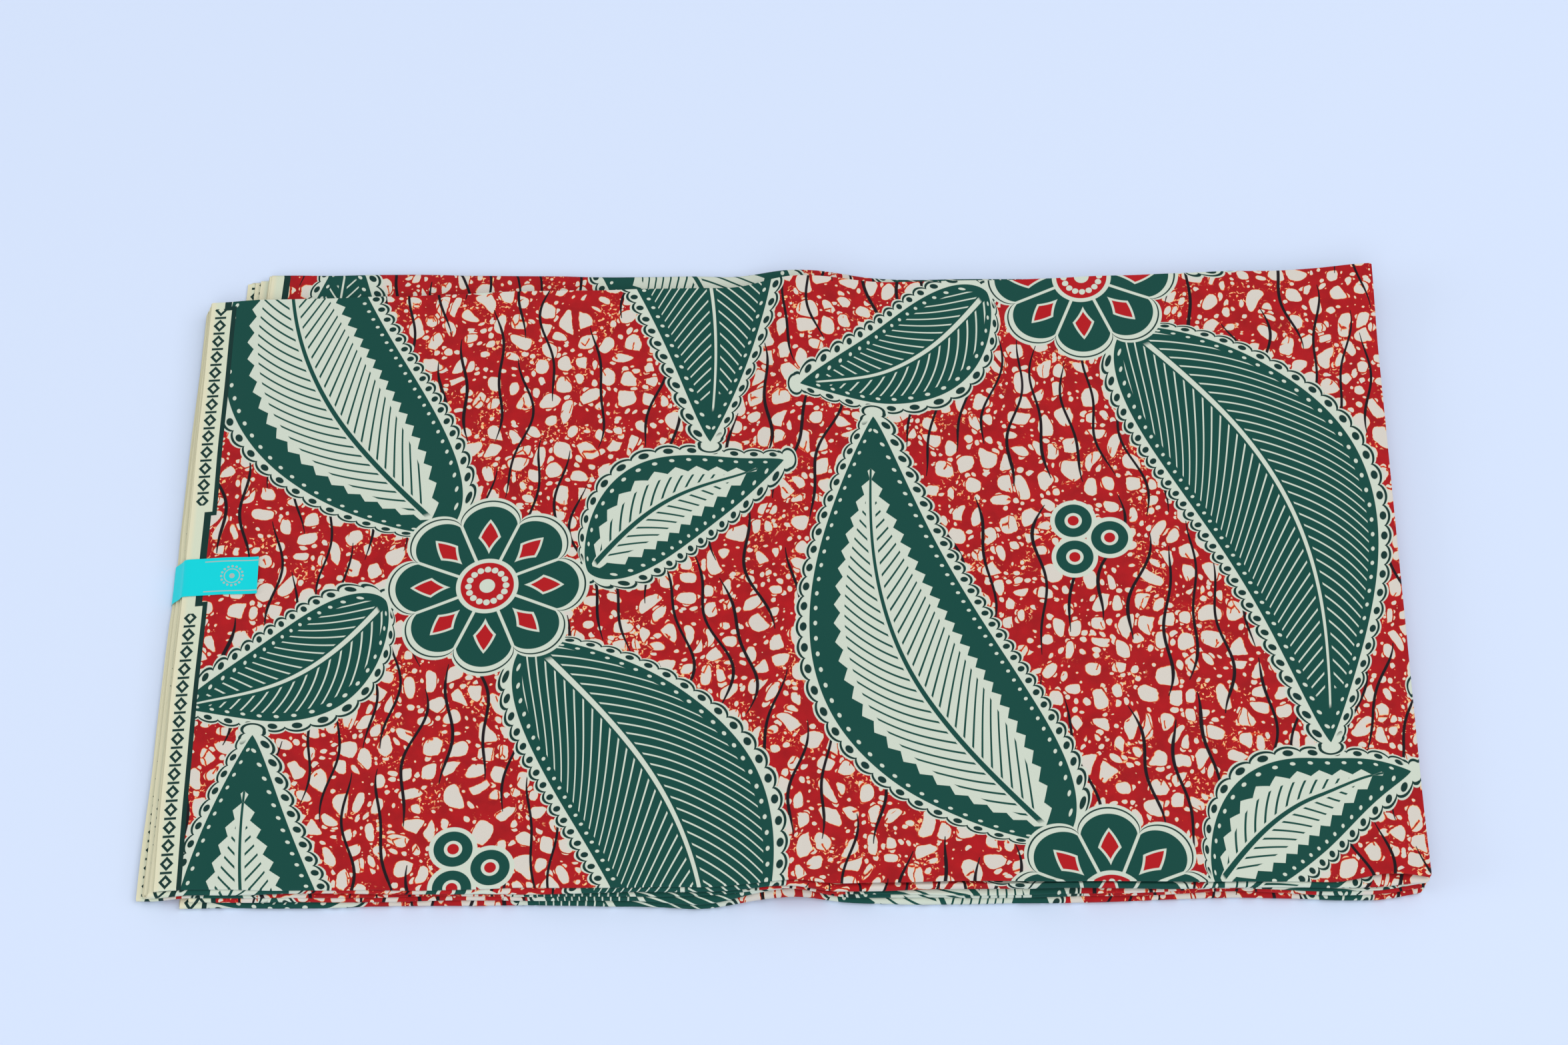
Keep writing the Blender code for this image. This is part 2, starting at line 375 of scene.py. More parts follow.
def ground_colour(place):
    field = pebble_field(place)
    crowded = noise(place, CROWD_PATCH).above(*CROWDED)
    flecks = noise(shifted_by_noise(place, **FLECK_SHIFT), FLECK_SIZE)
    return paint(
        RED,
        (DEEP_RED, noise(place, SHADE_PATCH, 2.0).above(*SHADED)),
        (ORANGE, flecks.above(*ORANGE_FLECKS) * crowded),
        (STRAW, flecks.above(*STRAW_FLECKS) * crowded),
        (ORANGE, field.above(*ORANGE_EDGE) * noise(place, FRINGE_PATCH).above(*BROKEN_FRINGE)),
        (STRAW, field.above(*STRAW_EDGE)),
        (PEBBLE_CREAM, field.above(*PEBBLE_EDGE)),
    )


pebbled_ground = make_group("pebbled_ground", ground_colour, "Color", place="Vector")

# %% [markdown]
# ## The hairlines
# Thin dark lines wander along the cloth over the ground. The cloth is split into columns, and each
# column into stretches. Each stretch draws one line of its own length, which sways as the sum of two
# slow waves and thins towards its ends. A line never leaves its column, so no line is cut or crosses
# another.

# %% Wandering hairlines
LINE_COLUMN, LINE_RUN, DRIFT_PATCH, DRIFT = 13.6, 92.0, 90.0, 26.0
SHORT_SWAY, LONG_SWAY = (50.0, 2.0), (97.0, 2.1)
LINE_WIDTH, END_WIDTH, LINE_TAPER = 1.45, 0.28, 12.0
SHORTEST_LINE, LINE_RANGE, MISSING_LINES = 0.60, 0.34, 0.05
LEFTMOST_LINE, PLACE_RANGE = 0.38, 0.24
FIRST_DRAW, SECOND_DRAW, RUN_OFFSETS = 31.0, 17.0, 5.0
SOFT_EDGE, HARD_EDGE = 0.3, 0.0001


def hairline_mask(place):
    across, along = separate(place)
    drifted = across + (noise(place, DRIFT_PATCH, 0.0) - 0.5) * DRIFT
    column = (drifted * (1 / LINE_COLUMN)).floor()
    run = along * (1 / LINE_RUN) + lot(column) * RUN_OFFSETS
    stretch = run.floor()
    share = run - stretch
    first_lot, second_lot = lot(column + FIRST_DRAW, stretch), lot(column, stretch + SECOND_DRAW)
    turn = 2 * math.pi
    sway = (along * (turn / SHORT_SWAY[0]) + first_lot * turn).sine() * SHORT_SWAY[1]
    sway = sway + (along * (turn / LONG_SWAY[0]) + second_lot * turn).sine() * LONG_SWAY[1]
    middle = (column + second_lot * PLACE_RANGE + LEFTMOST_LINE) * LINE_COLUMN
    to_end = share.lower(first_lot * LINE_RANGE + SHORTEST_LINE - share) * LINE_RUN
    thinning = (to_end * (1 / LINE_TAPER)).lower(1.0)
    half_width = (thinning * (1.0 - END_WIDTH) + END_WIDTH) * (LINE_WIDTH / 2)
    line = (half_width - abs(drifted - middle - sway)).shown(SOFT_EDGE)
    return line * (first_lot - MISSING_LINES).lower(to_end).shown(HARD_EDGE)


hairlines = make_group("hairlines", hairline_mask, "Float", place="Vector")

# %% [markdown]
# ## The large leaves
# The main design is made of broad leaves, each with a pale scalloped border with beads on it, a pale
# midrib and veins. One group draws one leaf in every repeat: it finds the middle of the nearest repeat,
# turns the point into the leaf's own directions, and measures how far it is from the leaf's outline.
# Alternate columns are dropped by half a repeat, as printers do to hide where the repeats join.

# %% A leaf in every repeat
REPEAT_WIDTH, REPEAT_HEIGHT = 292.0, 338.0
BASE_FULLNESS, OUTLINE_FULLNESS, LOBE_FULLNESS = 0.72, 0.86, 0.6
SCALLOP, SCALLOP_RISE, BORDER = 8.4, 2.6, 5.3
BEAD_RADIUS, BEAD_PLACE, HALF_THREAD, THREAD_PLACE = 1.75, 3.1, 0.65, 1.6
BEADS_START, BEADS_END, SHARE_BLUR = 0.01, 0.99, 0.01
HALF_RIB, RIB_SWELL, RIB_START, RIB_END = 0.45, 1.1, 0.05, 0.93
VEINS_END, VEINS_FADE = 0.90, 60.0
VEIN_STEP, VEIN_SLANT, VEIN_BOW, VEIN_TO_EDGE, VEIN_TO_RIB = 6.4, 0.95, 0.010, 5.2, 2.4
HALF_VEIN, HALF_OPEN_VEIN = 0.58, 0.72
DOT_RADIUS, DOT_PLACE, DOT_START = 0.95, 3.0, 2.0
RIM_SHARE, TOOTH_SLOPE, RIM_TO_VEINS = 0.140, 0.8, 5.5


def in_repeat(place, middle_x, middle_y):
    """The place within the nearest repeat, measured from the motif's middle."""
    across, along = separate(place)
    column = ((across - middle_x) * (1 / REPEAT_WIDTH) + 0.5).floor()
    dropped = along - middle_y + REPEAT_HEIGHT / 2 - column % 2.0 * (REPEAT_HEIGHT / 2)
    return across - middle_x - column * REPEAT_WIDTH, dropped % REPEAT_HEIGHT - REPEAT_HEIGHT / 2


def disc(x, y, radius, blur=0.25):
    return (radius - distance(x, y)).shown(blur)


def between(share, start, end):
    """A mask of a stretch of the leaf's length."""
    return (share - start).lower(end - share).shown(SHARE_BLUR)


def leaf_colour(is_open, place, below, middle_x, middle_y, angle, length, width, bend):
    """One leaf, printed over the colours below. An open leaf has a green rim and a pale inside."""
    x, y = in_repeat(place, middle_x, middle_y)
    cosine, sine = angle.cosine(), angle.sine()
    along = x * cosine + y * sine + length * 0.5
    share = along / length
    inside = share.higher(0.0).lower(1.0)
    across = y * cosine - x * sine - (inside * math.pi).sine() * bend
    along = along + across * ((inside * math.pi).cosine() * bend * math.pi / length)
    from_rib = abs(across)
    swell = (inside.power(BASE_FULLNESS) * math.pi).sine().power(OUTLINE_FULLNESS)
    sideways, beyond = from_rib - swell * width * 0.5, (share - inside) * length
    edge = distance(sideways.higher(0.0), beyond) + sideways.lower(0.0)
    inwards = -edge
    lobe = abs((along * (math.pi / SCALLOP)).sine()).power(LOBE_FULLNESS) * SCALLOP_RISE
    bead = disc(along % SCALLOP - SCALLOP / 2, edge - BEAD_PLACE, BEAD_RADIUS, SOFT_EDGE)
    thread = (HALF_THREAD - abs(edge - lobe - BORDER + THREAD_PLACE)).shown()
    body = inwards.shown()
    rib = ((1.0 - inside) * RIB_SWELL + HALF_RIB - from_rib).shown() * between(share, RIB_START, RIB_END)
    vein_room = (inwards - VEIN_TO_EDGE).lower(from_rib - VEIN_TO_RIB)
    vein_room = vein_room.lower((VEINS_END - share) * VEINS_FADE)
    vein_phase = (along - from_rib * VEIN_SLANT - from_rib.power(2.0) * VEIN_BOW) % VEIN_STEP
    half_vein = HALF_OPEN_VEIN if is_open else HALF_VEIN
    vein = (half_vein - abs(vein_phase - VEIN_STEP / 2)).lower(vein_room).shown()
    dot_phase = (along - DOT_START) % VEIN_STEP - VEIN_STEP / 2
    dots = disc(dot_phase, edge + DOT_PLACE, DOT_RADIUS)
    bordered = [
        (CREAM, (lobe + BORDER - edge).shown(SOFT_EDGE)),
        (DARK_GREEN, (bead * between(share, BEADS_START, BEADS_END)).higher(thread)),
        (GREEN, body),
    ]
    if not is_open:
        return paint(below, *bordered, (CREAM, rib.higher(vein).higher(dots * body)))
    rim = width * RIM_SHARE
    inner = (inwards - rim - abs(along % SCALLOP - SCALLOP / 2) * TOOTH_SLOPE).shown()
    lines = rib.higher(vein * (inwards - rim - RIM_TO_VEINS).shown(SOFT_EDGE))
    return paint(below, *bordered, (CREAM, inner), (GREEN, lines * inner), (CREAM, dots))


MOTIF = {"place": "Vector", "below": "Color", "middle_x": "Float", "middle_y": "Float"}
LEAF_SIZES = dict.fromkeys(("angle", "length", "width", "bend"), "Float")
full_leaf = make_group("full_leaf", partial(leaf_colour, False), "Color", **MOTIF, **LEAF_SIZES)
open_leaf = make_group("open_leaf", partial(leaf_colour, True), "Color", **MOTIF, **LEAF_SIZES)

# %% [markdown]
# ## Flowers and berries
# A round flower closes each fan of leaves, and small groups of berries fill the gaps. Both are drawn in
# polar form: the angle round the middle is folded onto one petal or one berry, so a single petal's
# formula draws them all.

# %% Round motifs
PETALS, PETAL_DIP, PETAL_FULLNESS, FLOWER_BORDER = 8, 0.24, 0.55, 5.0
OUTLINE_PLACE, HALF_OUTLINE, HALF_GROOVE, GROOVE_START = 3.0, 0.42, 0.75, 0.3
HEART_PLACE, HEART_SLOPE, HEART_WIDTH, HEART_RIM = 0.62, 4.6, 0.20, 1.3
EYE_RADIUS, EYE_RED, EYE_DOT = 0.34, 0.29, 0.085
EYE_BEADS, EYE_BEAD_PLACE, EYE_BEAD_RADIUS = 2 * PETALS, 0.205, 0.036
BERRIES, BERRY_PLACE = 3, 11.5
BERRY_DISCS = ((CREAM, 11.2), (GREEN, 9.0), (CREAM, 4.2), (RED, 2.7))


def folded_angle(x, y, count):
    """The angle round the middle, folded to run from minus half to plus half of one petal."""
    turn = 2 * math.pi / count
    return (y.arctangent(x) + turn * 0.5) % turn - turn * 0.5


def flower_colour(place, below, middle_x, middle_y, radius):
    x, y = in_repeat(place, middle_x, middle_y)
    from_middle, angle = distance(x, y), folded_angle(x, y, PETALS)
    share = from_middle / radius
    petal = (angle * (PETALS / 2)).cosine().power(PETAL_FULLNESS) * PETAL_DIP + (1.0 - PETAL_DIP)
    edge = from_middle - petal * radius
    body = (-edge).shown()
    to_groove = abs(math.pi / PETALS - abs(angle)) * from_middle
    groove = (HALF_GROOVE - to_groove).shown() * (share - GROOVE_START).shown(SHARE_BLUR)
    heart = 1.0 - abs(share - HEART_PLACE) * HEART_SLOPE
    drop = (heart * HEART_WIDTH - abs(angle)).lower(heart) * from_middle
    round_eye = folded_angle(x, y, EYE_BEADS) * from_middle
    beads = disc(round_eye, from_middle - radius * EYE_BEAD_PLACE, radius * EYE_BEAD_RADIUS)
    return paint(
        below,
        (CREAM, (FLOWER_BORDER - edge).shown(SOFT_EDGE)),
        (DARK_GREEN, (HALF_OUTLINE - abs(edge - OUTLINE_PLACE)).shown()),
        (GREEN, body),
        (CREAM, groove * body),
        (CREAM, drop.shown(SOFT_EDGE)),
        (RED, (drop - HEART_RIM).shown(SOFT_EDGE)),
        (CREAM, disc(x, y, radius * EYE_RADIUS)),
        (RED, disc(x, y, radius * EYE_RED)),
        (CREAM, beads.higher(disc(x, y, radius * EYE_DOT))),
    )


def berries_colour(place, below, middle_x, middle_y):
    x, y = in_repeat(place, middle_x, middle_y)
    angle, from_middle = folded_angle(x, y, BERRIES), distance(x, y)
    out_x, out_y = from_middle * angle.cosine() - BERRY_PLACE, from_middle * angle.sine()
    return paint(below, *((disc_ink, disc(out_x, out_y, radius)) for disc_ink, radius in BERRY_DISCS))


flower = make_group("flower", flower_colour, "Color", **MOTIF, radius="Float")
berries = make_group("berries", berries_colour, "Color", **MOTIF)

# %% [markdown]
# ## The cloth's finish
# The print is one chain: the ground, the hairlines, then the motifs from the lowest to the highest, and
# the plain selvedge over them all. The selvedges of such cloth are pale, and yellower at the very edge,
# with a dark line that steps outwards here and there, and a row of diamonds and bars. The strip at the
# very edge is partly a real yellow tint and partly painted light: it is lighter than the cloth's own
# colour, to offset the shade on the fanned ply edges at the left. Cotton has a dull, slightly fuzzy
# surface, so the shader is rough with a little sheen, and a fine plain weave is added as bump. The
# cloth's own UV map gives the place, in metres of flat cloth.

# %% The selvedges and the weave
CLOTH_WIDTH = 1.168
MILLIMETRES = 1000.0
SELVEDGE, BORDER_LINE, BORDER_STEP, STEPPED_LINE, PAINTED_LIGHT_EDGE_REACH = 11.5, 2.3, 3.2, 3.4, 2.2
SELVEDGE_REPEAT, SELVEDGE_START, STEPPED_RUNS = 396.0, 4.0, ((121.0, 172.0), (345.0, 396.0))
ORNAMENT_STEP, ORNAMENT_MIDDLE, ORNAMENT_MARGIN = 9.4, 5.0, 5.0
DIAMOND_REACH, DIAMOND_HOLE, DIAMOND_SLOPE, HALF_BAR, BAR_REACH = 3.2, 1.5, 0.85, 0.65, 2.8
SELVEDGE_BLUR, PAINTED_LIGHT_EDGE_BLUR = 0.2, 2.0
THREAD_HEIGHT, SLUBS, SLUB_HEIGHT = 0.5, {"size": 3.0, "detail": 2.0}, 0.8


def selvedge_colour(place, below):
    """Both selvedges: a pale margin, a dark line with small steps, and diamonds along the margin."""
    across, along = separate(place)
    from_edge = across.lower(CLOTH_WIDTH * MILLIMETRES - across)
    in_run = (along - SELVEDGE_START) % SELVEDGE_REPEAT
    to_first, to_second = [(in_run - start).lower(end - in_run) for start, end in STEPPED_RUNS]
    inside_run = to_first.higher(to_second)
    stepped = inside_run.shown(SELVEDGE_BLUR)
    line = from_edge - SELVEDGE + stepped * BORDER_STEP
    half_line = stepped * ((STEPPED_LINE - BORDER_LINE) / 2) + BORDER_LINE / 2
    past_stepped_line = from_edge - SELVEDGE + BORDER_STEP + STEPPED_LINE / 2
    between_lines = past_stepped_line.lower(SELVEDGE + BORDER_LINE / 2 - from_edge)
    tick = (BORDER_LINE / 2 - abs(inside_run).lower(in_run)).lower(between_lines)
    step, from_row = along % ORNAMENT_STEP - ORNAMENT_STEP / 2, abs(from_edge - ORNAMENT_MIDDLE)
    diamond = abs(step) * DIAMOND_SLOPE + from_row
    figure = (DIAMOND_REACH - diamond).lower(diamond - DIAMOND_HOLE).shown()
    bars = (HALF_BAR - abs(abs(step) - ORNAMENT_STEP / 2)).lower(BAR_REACH - from_row).shown()
    return paint(
        below,
        (SELVEDGE_CREAM, (half_line * 0.5 - line).shown(SELVEDGE_BLUR)),
        # Painted light: each ply's outermost edge is lighter as well as yellower, to offset the shade on
        # the fanned edges
        (EDGE_TINT_AND_PAINTED_LIGHT, (PAINTED_LIGHT_EDGE_REACH - from_edge).shown(PAINTED_LIGHT_EDGE_BLUR)),
        (DARK_GREEN, (half_line - abs(line)).higher(tick).shown(SELVEDGE_BLUR)),
        (DARK_GREEN, figure.higher(bars) * (-inside_run - ORNAMENT_MARGIN).shown(SELVEDGE_BLUR)),
    )


def weave_height(place, pitch):
    """The height of a plain weave's threads, uneven as spun cotton is."""
    across, along = separate(place)
    over = (across / pitch * math.pi).sine() * (along / pitch * math.pi).sine()
    return over * THREAD_HEIGHT + noise(place, **SLUBS) * SLUB_HEIGHT


selvedge = make_group("selvedge", selvedge_colour, "Color", place="Vector", below="Color")
plain_weave = make_group("plain_weave", weave_height, "Float", place="Vector", pitch="Float")

# %% The printed cotton
Leaf = namedtuple("Leaf", "group base_x base_y tip_x tip_y width bend")
LEAVES = [
    Leaf(full_leaf, 98, 176, 4, 232, 52, -14),
    Leaf(open_leaf, 194, 162, 288, 106, 52, -14),
    Leaf(full_leaf, 168, 200, 252, 428, 88, -34),
    Leaf(open_leaf, 124, 138, 40, -90, 88, -34),
]
FLOWER_X, FLOWER_Y, FLOWER_RADIUS = 146.0, 169.0, 44.0
BERRIES_X, BERRIES_Y = 142.0, 318.0
WEAVE_PITCH, WEAVE_STRENGTH, WEAVE_DEPTH = 0.40, 0.25, 0.0001
DULLNESS, DULLNESS_RANGE, DULL_PATCH = 0.72, 0.16, {"size": 40.0, "detail": 2.0}
COTTON_SHINE, SHEEN, SHEEN_ROUGHNESS = 0.22, 0.03, 0.5


def print_motifs(place, colour):
    """A spray of four leaves round a flower, and a group of berries."""
    for leaf in LEAVES:
        run, rise = leaf.tip_x - leaf.base_x, leaf.tip_y - leaf.base_y
        colour = use_group(leaf.group, place, below=colour, middle_x=leaf.base_x + run / 2,
                           middle_y=leaf.base_y + rise / 2, angle=math.atan2(rise, run),
                           length=math.hypot(run, rise), width=leaf.width, bend=leaf.bend)
    colour = use_group(flower, place, below=colour, middle_x=FLOWER_X, middle_y=FLOWER_Y,
                       radius=FLOWER_RADIUS)
    return use_group(berries, place, below=colour, middle_x=BERRIES_X, middle_y=BERRIES_Y)


def start_material(name):
    """A material, its shader, and the place on the flat piece in millimetres."""
    material = bpy.data.materials.new(name)
    material.use_nodes = True
    uv = material.node_tree.nodes.new("ShaderNodeUVMap")
    uv.uv_map = "cloth"
    place = vector_math("MULTIPLY", Number(uv.outputs["UV"]), (MILLIMETRES,) * 3)
    return material, material.node_tree.nodes["Principled BSDF"], place


def add_bump(shader, height, strength, depth):
    bump = height.tree.nodes.new("ShaderNodeBump")
    bump.inputs["Strength"].default_value = strength
    bump.inputs["Distance"].default_value = depth
    feed(height, bump.inputs["Height"])
    feed(Number(bump.outputs["Normal"]), shader.inputs["Normal"])


def printed_cotton():
    material, shader, place = start_material("printed_cotton")
    ground = paint(use_group(pebbled_ground, place), (HAIRLINE, use_group(hairlines, place)))
    colour = use_group(selvedge, place, below=print_motifs(place, ground))
    feed(colour, shader.inputs["Base Color"])
    weave = use_group(plain_weave, place, pitch=WEAVE_PITCH)
    add_bump(shader, weave, WEAVE_STRENGTH, WEAVE_DEPTH)
    feed(noise(place, **DULL_PATCH) * DULLNESS_RANGE + DULLNESS, shader.inputs["Roughness"])
    shader.inputs["Specular IOR Level"].default_value = COTTON_SHINE
    shader.inputs["Sheen Weight"].default_value = SHEEN
    shader.inputs["Sheen Roughness"].default_value = SHEEN_ROUGHNESS
    return material


cotton = printed_cotton()
print("cotton:", len(cotton.node_tree.nodes), "nodes, a repeat of", len(LEAVES), "leaves")

# %% [markdown]
# ## How the cloth is folded
# The cloth is one sheet of 1.168 by about 5.6 m. Doubled across its width it is two plies thick, and
# then it runs to and fro in 17 panels. The table gives the order in which the panels follow each other
# along the cloth, by their level in the packet from the top. Where the order skips levels, a fold wraps
# round other folds, and its rounded nose is taller. The panels in a row are always joined at the front
# and the back by turns. The plan of each level is the plan of the frame's solids.

# %% Levels, edges and noses
FOLDING_ORDER = [0, 1, 2, 5, 4, 3, 6, 7, 8, 11, 10, 9, 12, 16, 15, 14, 13]
LEVELS = len(FOLDING_ORDER)
STACK_HEIGHT = 0.0126
PITCH = STACK_HEIGHT / LEVELS
PLY_THICKNESS, PLY_OFFSET = 0.00026, 0.00019

# The left edge (selvedges) and the right edge (fold) of the levels, from the front to the back
SideEdges = namedtuple("SideEdges", "first left_front left_back right_front right_back")
SIDE_EDGES = [
    SideEdges(0, -0.2968, -0.2890, 0.2911, 0.2950),
    SideEdges(2, -0.2990, -0.2898, 0.2908, 0.2942),
    SideEdges(4, -0.3023, -0.2909, 0.2906, 0.2938),
    SideEdges(6, -0.3054, -0.2921, 0.2905, 0.2934),
    SideEdges(8, -0.2810, -0.2605, 0.2904, 0.2930),
    SideEdges(12, -0.2850, -0.2612, 0.2902, 0.2925),
    SideEdges(13, -0.2840, -0.2660, 0.2898, 0.2920),
    SideEdges(15, -0.2850, -0.2688, 0.2897, 0.2918),
    SideEdges(16, -0.2860, -0.2725, 0.2896, 0.2915),
]


def side_edges(level, front_share):
    """The left and right edges of a level, at this share of the way from the back to the front."""
    row = [edges for edges in SIDE_EDGES if edges.first <= level][-1]
    left = row.left_back + (row.left_front - row.left_back) * front_share
    right = row.right_back + (row.right_front - row.right_back) * front_share
    return np.array([left, right])


def level_height(level):
    return STACK_HEIGHT - (level + 0.5) * PITCH


# The outermost line of each nose that shows, at its left and its right end
Nose = namedtuple("Nose", "upper lower left right")
FRONT_NOSES = [
    Nose(0, 1, -0.1592, -0.1649),
    Nose(2, 5, -0.1607, -0.1663),
    Nose(6, 7, -0.1612, -0.1672),
    Nose(8, 11, -0.1626, -0.1684),
    Nose(12, 16, -0.1640, -0.1698),
]
BACK_NOSES = [
    Nose(1, 2, 0.1569, 0.1660),
    Nose(3, 6, 0.1562, 0.1655),
    Nose(7, 8, 0.1558, 0.1648),
    Nose(9, 12, 0.1784, 0.1644),
    Nose(13, 16, 0.1775, 0.1637),
]
CUT_EDGE_BACK = Nose(0, 0, 0.1576, 0.1672)
CUT_EDGE_FRONT = Nose(13, 13, -0.1600, -0.1650)

# The frame's solids are centred on the packet's outline, so the plan is moved to them
FOLD_RADIUS = 0.00075
SHIFT_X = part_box("top_fold")[1].x - (SIDE_EDGES[0].right_back + FOLD_RADIUS)
SHIFT_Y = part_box("top_fold")[1].y - CUT_EDGE_BACK.right
print("shift of the plan:", round(SHIFT_X, 5), round(SHIFT_Y, 5))
print("pitch of the panels:", round(PITCH, 6))

# %% [markdown]
# ## How the packet lies
# Old creases and the air in the folds give the packet its relief. A low ridge crosses the middle, the
# right corners are swollen, and short creases spread from them. All layers follow, so the relief is a
# function that lifts a layer at (x, y), given its height in a flat packet. The creases fade towards
# the bottom, which rests flat. At the left the upper folds reach past the lower ones, so their
# selvedges sink towards the table like a fan, the lowest ones most. At the front the second nose swells
# up before the top fold's edge, so that a dark cleft shows between them.

# %% Relief of the packet
Ridge = namedtuple("Ridge", "y middle height left_reach right_reach")
FRONT_RIDGE = Ridge(-0.171, -0.0040, 0.0070, 0.044, 0.026)
BACK_RIDGE = Ridge(0.177, 0.0056, 0.0094, 0.038, 0.054)
BOTTOM_LIFT = 0.3
Swelling = namedtuple("Swelling", "x y share reach")
SWELLINGS = [Swelling(0.297, 0.170, 0.38, 0.054), Swelling(0.293, -0.166, 0.12, 0.055)]
UPPER_LEVELS, FAN_DROP, FAN_REACH = 8, 0.0056, 0.020
UPPER_BOTTOM = level_height(UPPER_LEVELS - 1) - PLY_OFFSET
FAN_HEIGHTS = (level_height(UPPER_LEVELS) + PLY_OFFSET, UPPER_BOTTOM, STACK_HEIGHT)
FAN_SHARES, PINCH_SHARES, MOST_PINCH = (0.0, 1.0, 0.25), (0.0, 1.0, 1.0), 1.1
LABEL_MIDDLE_Y, LABEL_HOLD, LABEL_PINCH, PINCH_REACH = 0.0025, 0.030, 0.0009, 0.0045
RIDGE_SHARPNESS, RELIEF_FADE, MOST_RELIEF = 1.25, 1.5, 1.2

# Each row is a height and two waves that cross each other, by their paces along x and y and their start
UNEVENNESS = (
    (0.00016, (41, 23, 0.7), (29, -37, 2.1)),
    (0.00007, (97, -31, 0.0), (23, 83, 1.3)),
)
Bulge = namedtuple("Bulge", "x left_reach right_reach behind reach rise")
BULGE = Bulge(0.105, 0.150, 0.180, 0.0010, 0.0017, 0.0012)
CREASE_BOW, CREASE_MIDDLE, CREASE_REACH = 0.06, 0.45, 0.62
Crease = namedtuple("Crease", "x y to_x to_y depth width")
CREASES = [
    Crease(0.234, 0.160, 0.218, 0.122, -0.00044, 0.0032),
    Crease(0.242, 0.159, 0.234, 0.105, 0.00046, 0.0030),
    Crease(0.252, 0.160, 0.248, 0.128, -0.00042, 0.0032),
    Crease(0.260, 0.161, 0.263, 0.112, 0.00040, 0.0032),
    Crease(0.273, 0.162, 0.279, 0.096, -0.00042, 0.0045),
    Crease(0.005, 0.160, -0.001, 0.020, 0.00055, 0.0030),
    Crease(-0.001, 0.020, -0.004, -0.158, 0.00035, 0.0036),
    Crease(0.020, 0.156, 0.034, 0.060, -0.00030, 0.0080),
    Crease(-0.032, 0.150, -0.050, 0.040, -0.00026, 0.0100),
    Crease(-0.185, 0.030, -0.090, 0.052, 0.00018, 0.0090),
    Crease(-0.262, -0.090, -0.215, -0.020, -0.00022, 0.0080),
    Crease(0.090, -0.020, 0.185, -0.050, 0.00020, 0.0110),
    Crease(0.150, 0.080, 0.215, 0.020, -0.00020, 0.0100),
    Crease(0.262, -0.160, 0.214, -0.105, 0.00030, 0.0060),
    Crease(0.284, -0.130, 0.262, -0.060, -0.00026, 0.0060),
    Crease(-0.060, -0.158, -0.085, -0.110, 0.00020, 0.0070),
]


def bell(away):
    """1 in the middle, 0 from one reach outwards, with a soft shoulder."""
    return 0.5 + 0.5 * np.cos(np.pi * np.clip(np.abs(away), 0.0, 1.0))


def ridge_at(x, ridge):
    reach = np.where(x < ridge.middle, ridge.left_reach, ridge.right_reach)
    return ridge.height * bell((x - ridge.middle) / reach) ** RIDGE_SHARPNESS


def crease_at(x, y, crease):
    """A soft trough or ridge along a line, thinning out to both ends."""
    run_x, run_y = crease.to_x - crease.x, crease.to_y - crease.y
    length = math.hypot(run_x, run_y)
    share = ((x - crease.x) * run_x + (y - crease.y) * run_y) / length**2
    beside = ((x - crease.x) * run_y - (y - crease.y) * run_x) / length
    bowed = beside - CREASE_BOW * length * np.sin(np.pi * np.clip(share, 0, 1))
    thinning = bell((share - CREASE_MIDDLE) / CREASE_REACH)
    return crease.depth * bell(bowed / (2 * crease.width)) * thinning


def wave_at(x, y, wave):
    pace_x, pace_y, start = wave
    return np.sin(pace_x * x + pace_y * y + start)


def undulation(x, y):
    """The slow unevenness of folded cloth."""
    return sum(height * (wave_at(x, y, first) * wave_at(x, y, second))
               for height, first, second in UNEVENNESS)


def front_share_at(y):
    return (BACK_RIDGE.y - y) / (BACK_RIDGE.y - FRONT_RIDGE.y)


def sinking(x, y, height):
    """How far a layer sinks past the lower folds' edge, and more where the label holds it."""
    share = front_share_at(y)
    support, edge = side_edges(UPPER_LEVELS, share)[0], side_edges(0, share)[0]
    beyond = np.clip((support - x) / FAN_REACH, 0.0, 1.0)
    fan = FAN_DROP * beyond**2 * (3 - 2 * beyond) * np.interp(height, FAN_HEIGHTS, FAN_SHARES)
    near_edge = np.clip((edge - x) / PINCH_REACH + 1.0, 0.0, MOST_PINCH) ** 2
    held = bell((y - LABEL_MIDDLE_Y) / LABEL_HOLD) * near_edge
    return fan + LABEL_PINCH * held * np.interp(height, FAN_HEIGHTS, PINCH_SHARES)


def bulging(x, y, height):
    """How far the second front nose swells up before the top fold's edge."""
    nose = FRONT_NOSES[1]
    middle = line_at(nose, x) + nose_wave(nose, x) + BULGE.behind
    reach = np.where(x < BULGE.x, BULGE.left_reach, BULGE.right_reach)
    nose_heights = level_height(nose.lower + 0.5), level_height(nose.upper)
    share = np.interp(height, nose_heights, (0.0, 1.0))
    return BULGE.rise * bell((x - BULGE.x) / reach) * bell((y - middle) / BULGE.reach) * share


def settled(x, y, height):
    """The height of a layer's point in the packet as it lies."""
    share = front_share_at(y)
    lift = ridge_at(x, FRONT_RIDGE) * share + ridge_at(x, BACK_RIDGE) * (1 - share)
    lift = lift * np.clip(BOTTOM_LIFT + 2 * (1 - BOTTOM_LIFT) * height / STACK_HEIGHT, 0.0, 1.0)
    times = 1.0 + sum(s.share * bell(np.hypot(x - s.x, y - s.y) / s.reach) for s in SWELLINGS)
    relief = undulation(x, y) + sum(crease_at(x, y, crease) for crease in CREASES)
    relief = relief * np.clip(height / STACK_HEIGHT, 0.0, MOST_RELIEF) ** RELIEF_FADE
    return height * times + lift + relief - sinking(x, y, height) + bulging(x, y, height)


print("relief:", len(CREASES), "creases, a ridge", FRONT_RIDGE.height, "m high at the front")

